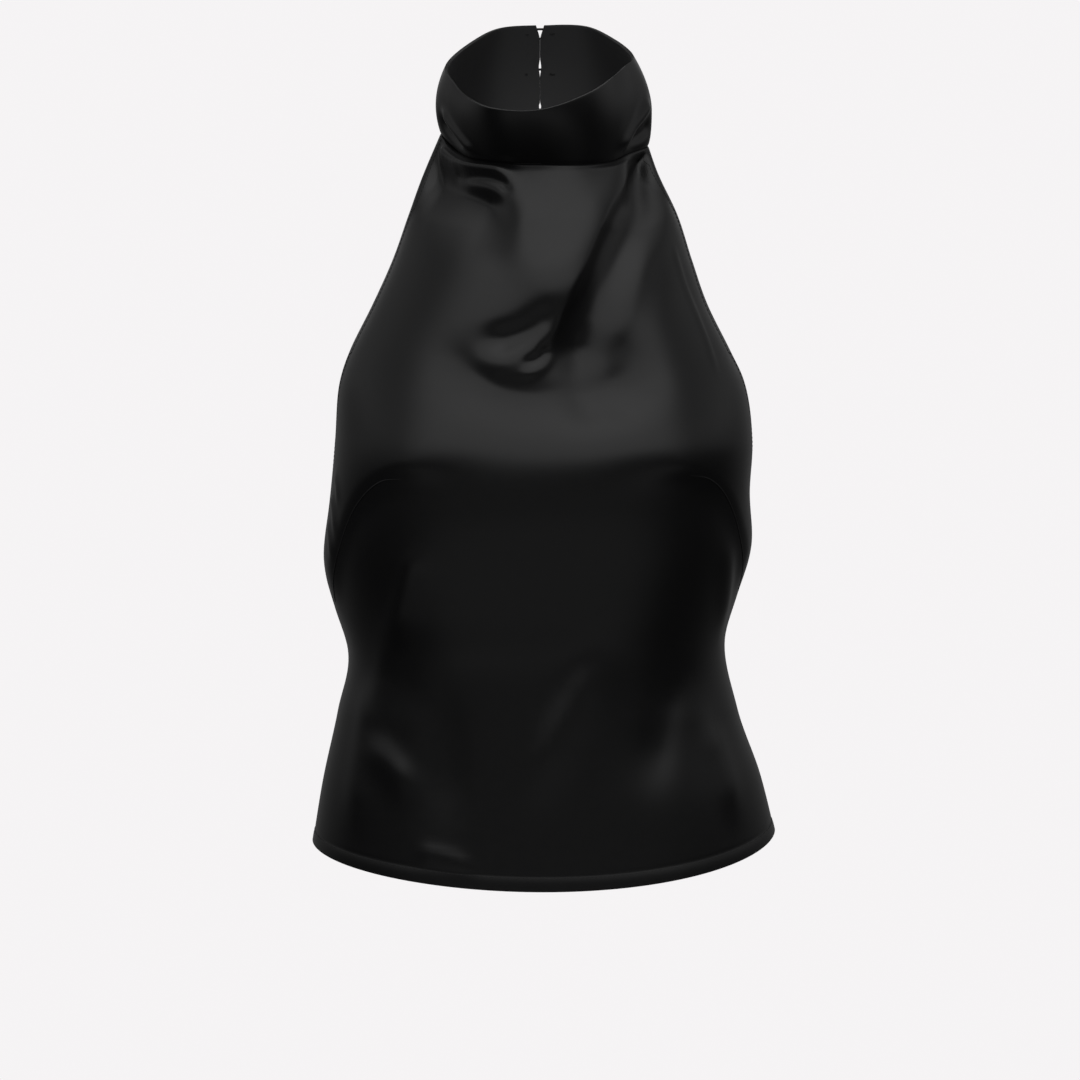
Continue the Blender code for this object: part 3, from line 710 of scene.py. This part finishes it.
def add_wall(obj, wall, round_edges=0.0):
    """Thickness inwards, with the reverse of the cloth on the inner side."""
    solidify = obj.modifiers.new("cloth", "SOLIDIFY")
    solidify.thickness = wall * MM
    solidify.offset = -1
    solidify.material_offset = 1
    if round_edges:
        bevel = obj.modifiers.new("turned edge", "BEVEL")
        bevel.width = round_edges * MM
        bevel.segments = RIM_SEGMENTS
        bevel.limit_method = "ANGLE"
        bevel.angle_limit = math.radians(SHARP_EDGE)


def shared_materials():
    cloth = bpy.context.scene.halter_satin
    if "black satin" not in bpy.data.materials:
        satin_material("black satin", cloth.face, cloth.gloss, 0.0, cloth.thread)
        # The reverse's colour is partly its own dull grey and partly painted reflection, lighter than the
        # dull side alone.
        satin_material("satin reverse with painted reflection", cloth.reverse, REVERSE_ROUGHNESS, REVERSE_SHEEN, cloth.thread)
        thread_material()
    names = ("black satin", "satin reverse with painted reflection", "spun polyester thread")
    return [bpy.data.materials[name] for name in names]


def on_cloth(grid, run, row, along, height):
    """A grid of vectors read at one place on the cloth: along it, and at a height of the row."""
    heights = row[:, 0]
    i = int(np.clip(np.searchsorted(-heights, -height), 1, len(heights) - 1))
    share = np.clip((heights[i - 1] - height) / (heights[i - 1] - heights[i]), 0, 1)
    over, under = (
        np.array([np.interp(along, run[k], grid[k, :, axis]) for axis in range(3)]) for k in (i - 1, i)
    )
    return over + (under - over) * share


def round_curve(name, radius, sides):
    """An empty curve whose lines get a round section and closed ends."""
    curve = bpy.data.curves.new(name, "CURVE")
    curve.dimensions = "3D"
    curve.bevel_depth = radius * MM
    curve.bevel_resolution = sides
    curve.use_fill_caps = True
    return curve


def add_line(curve, places, sizes=None):
    """A line of the curve through places in millimetres, and how thick it is at each."""
    spline = curve.splines.new("POLY")
    spline.points.add(len(places) - 1)
    for n, (point, place) in enumerate(zip(spline.points, places)):
        point.co = (*(place * MM), 1)
        if sizes is not None:
            point.radius = sizes[n]


def dart_seam(name, path, points, normals, run, row, satin):
    """A seam's ridge, half sunk in the cloth, that is finest at the dart's point."""
    path = np.array(path, float)
    at = np.linspace(0, len(path) - 1, SEAM_STEPS)
    sizes = POINT_SIZE + (1 - POINT_SIZE) * ease(at / at[-1] / POINT_SHARE)
    along, height = (through(range(len(path)), path[:, axis], at) for axis in (0, 1))
    places = []
    for a, h, size in zip(along, height, sizes):
        sunk = (SEAM_PROUD - SEAM_RIDGE) * size
        places.append(on_cloth(points, run, row, a, h) + sunk * on_cloth(normals, run, row, a, h))
    curve = round_curve(name, SEAM_RIDGE, SEAM_SIDES)
    add_line(curve, places, sizes)
    return add_piece(name, curve, (satin,))


def even_places(line, pitch):
    """Places along a line of points, a pitch apart, with the way that the line goes at each."""
    run = np.concatenate([[0], np.cumsum(np.linalg.norm(np.diff(line, axis=0), axis=1))])
    at = np.arange(pitch, run[-1] - pitch / 2, pitch)
    places = np.stack([np.interp(at, run, line[:, axis]) for axis in range(3)], -1)
    ahead = np.gradient(places, axis=0)
    return places, ahead / np.linalg.norm(ahead, axis=1, keepdims=True)


def line_across(points, normals, row, height):
    """The line on the cloth at one height of the row."""
    at = row[:, 0]
    i = int(np.argmin(abs(at - height)))
    return points[i], normals[i]


def line_beside(points, normals, from_side, depth, rows):
    """The line down the cloth that keeps one distance from a side."""
    j = np.argmin(abs(from_side[rows] - depth), axis=1)
    picked = np.arange(len(j))
    return points[rows][picked, j], normals[rows][picked, j]


def stitch_row(curve, line, normals, sewing):
    """One row of stitches: each rises from the cloth, lies on it and dips back into it."""
    places, ahead = even_places(line, sewing.pitch)
    nearest = [int(np.argmin(np.sum((line - place) ** 2, axis=1))) for place in places]
    half = sewing.stitch / 2
    for place, way, n in zip(places, ahead, nearest):
        stitch = []
        for along, out in STITCH_SHAPE:
            stitch.append(place + way * along * half + normals[n] * out * sewing.thread)
        add_line(curve, stitch)


def stitches(name, rows, sewing, thread):
    """Topstitching in one piece, from rows of places and normals."""
    curve = round_curve(name, sewing.thread / 2, THREAD_SIDES)
    for line, normals in rows:
        stitch_row(curve, line, normals, sewing)
    return add_piece(name, curve, (thread,))


def collar_frame(turn, up):
    """A point of the collar's outer side, and the directions round, up and out there."""
    nearby = (-1, 0, 1)
    turns, ups = np.meshgrid([turn + n * TURN_STEP for n in nearby], [up + n * UP_STEP for n in nearby])
    points = plain_collar(turns, ups)
    ahead = points[1, 2] - points[1, 0]
    ahead /= np.linalg.norm(ahead)
    upward = points[2, 1] - points[0, 1]
    upward -= ahead * np.dot(upward, ahead)
    upward /= np.linalg.norm(upward)
    return points[1, 1], ahead, upward, np.cross(ahead, upward)


class HALTER_OT_front(bpy.types.Operator):
    """Makes the front panel with its folds, darts and hems"""

    bl_idname = "halter.front"
    bl_label = "Front"

    def execute(self, context):
        satin, reverse, thread = shared_materials()
        sewing = context.scene.halter_sewing
        points, run, row, doubled = front_points(sewing)
        mesh = grid_mesh("front_cloth", points, run, row)
        piece = add_piece("front_cloth", mesh, (satin, reverse))
        add_wall(piece, BODY_WALL)
        double_hems(piece, on_vertices(mesh, doubled))
        normals = outward_normals(points)
        at_armhole = row[:, 0] > UNDER_ARM
        rows = [line_across(points, normals, row, HEM + sewing.hem)]
        for from_side in (run - run[:, :1], run[:, -1:] - run):
            rows.append(line_beside(points, normals, from_side, sewing.armhole, at_armhole))
        sewn = [dart_seam(name, path, points, normals, run, row, satin) for name, path in DART_SEAMS]
        sewn.append(stitches("front_topstitches", rows, sewing, thread))
        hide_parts("front")
        return {"FINISHED"}


class HALTER_OT_back(bpy.types.Operator):
    """Makes the low back panel"""

    bl_idname = "halter.back"
    bl_label = "Back"

    def execute(self, context):
        satin, reverse, thread = shared_materials()
        sewing = context.scene.halter_sewing
        points, run, row, doubled = back_points(sewing)
        mesh = grid_mesh("back_cloth", points, run, row)
        piece = add_piece("back_cloth", mesh, (satin, reverse))
        add_wall(piece, BODY_WALL)
        double_hems(piece, on_vertices(mesh, doubled))
        normals = outward_normals(points)
        heights = (HEM + sewing.hem, UNDER_ARM - sewing.armhole)
        rows = [line_across(points, normals, row, height) for height in heights]
        sewn = stitches("back_topstitches", rows, sewing, thread)
        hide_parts("back")
        return {"FINISHED"}


class HALTER_OT_collar(bpy.types.Operator):
    """Makes the standing collar, a doubled band with a folded rim"""

    bl_idname = "halter.collar"
    bl_label = "Collar"

    def execute(self, context):
        satin, reverse, _ = shared_materials()
        points, run, rise = collar_points()
        mesh = grid_mesh("collar_cloth", points, run, rise)
        piece = add_piece("collar_cloth", mesh, (satin, reverse))
        add_wall(piece, COLLAR_WALL, RIM_ROUND)
        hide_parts("collar")
        return {"FINISHED"}


class HALTER_OT_fastenings(bpy.types.Operator):
    """Makes the covered buttons and their cord loops"""

    bl_idname = "halter.fastenings"
    bl_label = "Buttons and Loops"

    def execute(self, context):
        satin, _, thread = shared_materials()
        sewn = [self.make_button(n, satin) for n in range(BUTTONS)]
        sewn += [self.make_loop(n, satin) for n in range(BUTTONS)]
        sewn.append(self.make_bar_tacks(context.scene.halter_sewing, thread))
        return {"FINISHED"}

    def make_bar_tacks(self, sewing, thread):
        """The ends of the threads that hold each button and loop, inside the collar."""
        curve = round_curve("bar_tacks", sewing.thread / 2, THREAD_SIDES)
        for n in range(BUTTONS):
            for turn, reach in ((BUTTON_TURN, TACK), (-BUTTON_TURN + LOOP_TACK_SHIFT, TACK / 2)):
                point, ahead, upward, outward = collar_frame(turn, BUTTON_TOP - n * BUTTON_PITCH)
                inner = point - outward * (COLLAR_WALL + sewing.thread / 4)
                for lift in TACK_ROWS:
                    stitch = []
                    for along, out in STITCH_SHAPE:
                        spot = inner + ahead * along * reach + upward * lift
                        stitch.append(spot - outward * out * sewing.thread)
                    add_line(curve, stitch)
        return add_piece(curve.name, curve, (thread,))

    def make_button(self, n, satin):
        """A dome covered with cloth, turned about its shank."""
        turned = bmesh.new()
        verts = [turned.verts.new((radius * MM, 0, height * MM)) for radius, height in BUTTON_OUTLINE]
        edges = [turned.edges.new(pair) for pair in zip(verts, verts[1:])]
        bmesh.ops.spin(
            turned,
            geom=verts + edges,
            cent=(0, 0, 0),
            axis=(0, 0, 1),
            angle=math.tau,
            steps=BUTTON_STEPS,
            use_merge=True,
        )
        bmesh.ops.remove_doubles(turned, verts=turned.verts, dist=SAME_PLACE)
        point, ahead, upward, outward = collar_frame(BUTTON_TURN, BUTTON_TOP - n * BUTTON_PITCH)
        base = (point - SUNK_SHANK * outward) * MM
        turn = Matrix((ahead, upward, outward)).transposed().to_4x4()
        bmesh.ops.transform(turned, matrix=Matrix.Translation(base) @ turn, verts=turned.verts)
        bmesh.ops.recalc_face_normals(turned, faces=turned.faces)
        turned.loops.layers.uv.new("cloth")
        mesh = bpy.data.meshes.new(f"covered_button_{n + 1}")
        turned.to_mesh(mesh)
        turned.free()
        mesh.shade_smooth()
        piece = add_piece(mesh.name, mesh, (satin,))
        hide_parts(f"button_{n + 1}")
        return piece

    def make_loop(self, n, satin):
        """A cord across the slit, bent round the button's shank."""
        up = BUTTON_TOP - n * BUTTON_PITCH
        radius = SHANK_RADIUS + SHANK_ROOM + LOOP_CORD
        angles = np.linspace(-math.pi / 2, math.pi / 2, BEND_POINTS)
        bend = [(radius * math.cos(angle), radius * math.sin(angle)) for angle in angles]
        legs = np.linspace(-LOOP_REACH, -LEG_SHARE * LOOP_REACH, LEG_POINTS)
        route = [(x, -radius) for x in legs] + bend + [(x, radius) for x in reversed(legs)]
        places = []
        for x, z in route:
            turn = BUTTON_TURN - math.degrees(x / COLLAR_RADIUS)
            turn = turn - 360 if turn > 180 else turn
            on_collar, _, _, outward = collar_frame(turn, up + z / COLLAR_DEPTH)
            places.append(on_collar + outward * (LOOP_CORD - SUNK_CORD))
        curve = round_curve(f"rouleau_loop_{n + 1}", LOOP_CORD, CORD_SIDES)
        add_line(curve, places)
        piece = add_piece(curve.name, curve, (satin,))
        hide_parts(f"loop_{n + 1}")
        return piece


class HALTER_OT_studio(bpy.types.Operator):
    """Makes the paper cove, the light of the room and the camera"""

    bl_idname = "halter.studio"
    bl_label = "Studio"

    def execute(self, context):
        studio = context.scene.halter_studio
        self.make_paper(studio)
        self.make_room(context, studio.room)
        context.scene.view_settings.view_transform = "Standard"
        self.make_camera(context)
        return {"FINISHED"}

    def make_room(self, context, brightness):
        """A white room with a wide softbox over the camera, as light from each direction."""
        world = bpy.data.worlds.new("white room")
        world.use_nodes = True
        tree = world.node_tree
        tree.nodes.clear()
        place = add_node(tree, "ShaderNodeTexCoord")
        way = add_node(tree, "ShaderNodeSeparateXYZ", {}, {"Vector": (place, "Generated")})
        height = add_node(
            tree, "ShaderNodeMapRange", {}, {"Value": (way, "Z"), "From Min": -1.0, "From Max": 1.0}
        )
        ramp = add_node(tree, "ShaderNodeValToRGB", {}, {"Fac": (height, "Result")})
        stops = ramp.color_ramp.elements
        stops[1].position = 1.0
        for rise, *shares in ROOM:
            ends = {-1.0: 0, 1.0: len(stops) - 1}
            stop = stops[ends[rise]] if rise in ends else stops.new((rise + 1) / 2)
            stop.color = shares
        light = add_node(tree, "ShaderNodeSeparateColor", {}, {"Color": (ramp, "Color")})
        channels = ((light, "Red"), (light, "Green"), (light, "Blue"), (ramp, "Alpha"))
        share = dict(zip(ROOM_COLUMNS[1:], channels))
        flat = add_node(tree, "ShaderNodeCombineXYZ", {}, {"X": (way, "X"), "Y": (way, "Y")})
        unit = add_node(tree, "ShaderNodeVectorMath", {"operation": "NORMALIZE"}, {0: (flat, "Vector")})
        round_way = add_node(tree, "ShaderNodeSeparateXYZ", {}, {"Vector": (unit, "Vector")})
        ahead = self.fade_in(tree, (round_way, "Y"), -SOFTBOX_EDGE, -SOFTBOX_FULL, "SMOOTHERSTEP")
        rear = self.fade_in(tree, (way, "Y"), REAR_EDGE, REAR_FULL)
        more = add_node(
            tree, "ShaderNodeMath", {"operation": "SUBTRACT"}, {0: share["behind"], 1: share["all_round"]}
        )
        walls = self.add_light(tree, (more, "Value"), rear, share["all_round"])
        back = self.fade_in(tree, (way, "Y"), BACK_EDGE, BACK_FULL)
        lit_back = self.add_light(tree, share["straight_behind"], back, walls)
        total = self.add_light(tree, share["in_front"], ahead, lit_back)
        glow = add_node(tree, "ShaderNodeBackground", {}, {"Color": total, "Strength": brightness})
        add_node(tree, "ShaderNodeOutputWorld", {}, {"Surface": (glow, "Background")})
        context.scene.world = world

    def fade_in(self, tree, value, edge, full, kind="SMOOTHSTEP"):
        """0 at the edge of a light and 1 where it is full."""
        ends = {"Value": value, "From Min": edge, "From Max": full}
        return add_node(tree, "ShaderNodeMapRange", {"interpolation_type": kind}, ends), "Result"

    def add_light(self, tree, light, part, other):
        """A part of one light on top of another."""
        terms = {0: light, 1: part, 2: other}
        return add_node(tree, "ShaderNodeMath", {"operation": "MULTIPLY_ADD"}, terms), "Value"

    def make_paper(self, studio):
        """A round cove of white paper, bright enough to have no edge or shadow."""
        cove = bmesh.new()
        bmesh.ops.create_uvsphere(
            cove, u_segments=PAPER_SEGMENTS, v_segments=PAPER_RINGS, radius=studio.cove
        )
        bmesh.ops.reverse_faces(cove, faces=cove.faces)
        mesh = bpy.data.meshes.new("studio_paper")
        cove.to_mesh(mesh)
        cove.free()
        mesh.shade_smooth()
        mesh.materials.append(paper_material(studio.pale))
        paper = bpy.data.objects.new("studio_paper", mesh)
        bpy.context.scene.collection.objects.link(paper)
        for ray in ("diffuse", "glossy", "transmission", "shadow"):
            setattr(paper, f"visible_{ray}", False)

    def make_camera(self, context):
        camera = bpy.data.cameras.new("photo_view")
        camera.sensor_width = CAMERA_SENSOR
        camera.lens = camera.sensor_width / 2 / math.tan(math.radians(CAMERA_FOV / 2))
        obj = bpy.data.objects.new("photo_view", camera)
        obj.location = CAMERA_PLACE
        obj.rotation_euler = Euler((math.radians(90 - CAMERA_DOWN), 0, 0))
        context.scene.collection.objects.link(obj)
        context.scene.camera = obj


OPERATORS = (HALTER_OT_front, HALTER_OT_back, HALTER_OT_collar, HALTER_OT_fastenings, HALTER_OT_studio)


class HALTER_PT_panel(bpy.types.Panel):
    """Lists the pieces of the top"""

    bl_idname = "HALTER_PT_panel"
    bl_label = "Mock Neck Halter Top"
    bl_space_type = "VIEW_3D"
    bl_region_type = "UI"
    bl_category = "Halter Top"

    def draw(self, context):
        for group in ("halter_satin", "halter_sewing", "halter_studio"):
            settings = getattr(context.scene, group)
            for name in settings.__annotations__:
                self.layout.prop(settings, name)
        for operator in OPERATORS:
            self.layout.operator(operator.bl_idname)


CLASSES = (HalterSatin, HalterSewing, HalterStudio, *OPERATORS, HALTER_PT_panel)


def register():
    for cls in CLASSES:
        bpy.utils.register_class(cls)
    bpy.types.Scene.halter_satin = bpy.props.PointerProperty(type=HalterSatin)
    bpy.types.Scene.halter_sewing = bpy.props.PointerProperty(type=HalterSewing)
    bpy.types.Scene.halter_studio = bpy.props.PointerProperty(type=HalterStudio)


def unregister():
    for name in ("halter_satin", "halter_sewing", "halter_studio"):
        delattr(bpy.types.Scene, name)
    for cls in reversed(CLASSES):
        bpy.utils.unregister_class(cls)


def main():
    register()
    bpy.ops.halter.front()
    bpy.ops.halter.back()
    bpy.ops.halter.collar()
    bpy.ops.halter.fastenings()
    bpy.ops.halter.studio()


if __name__ == "__main__":
    main()
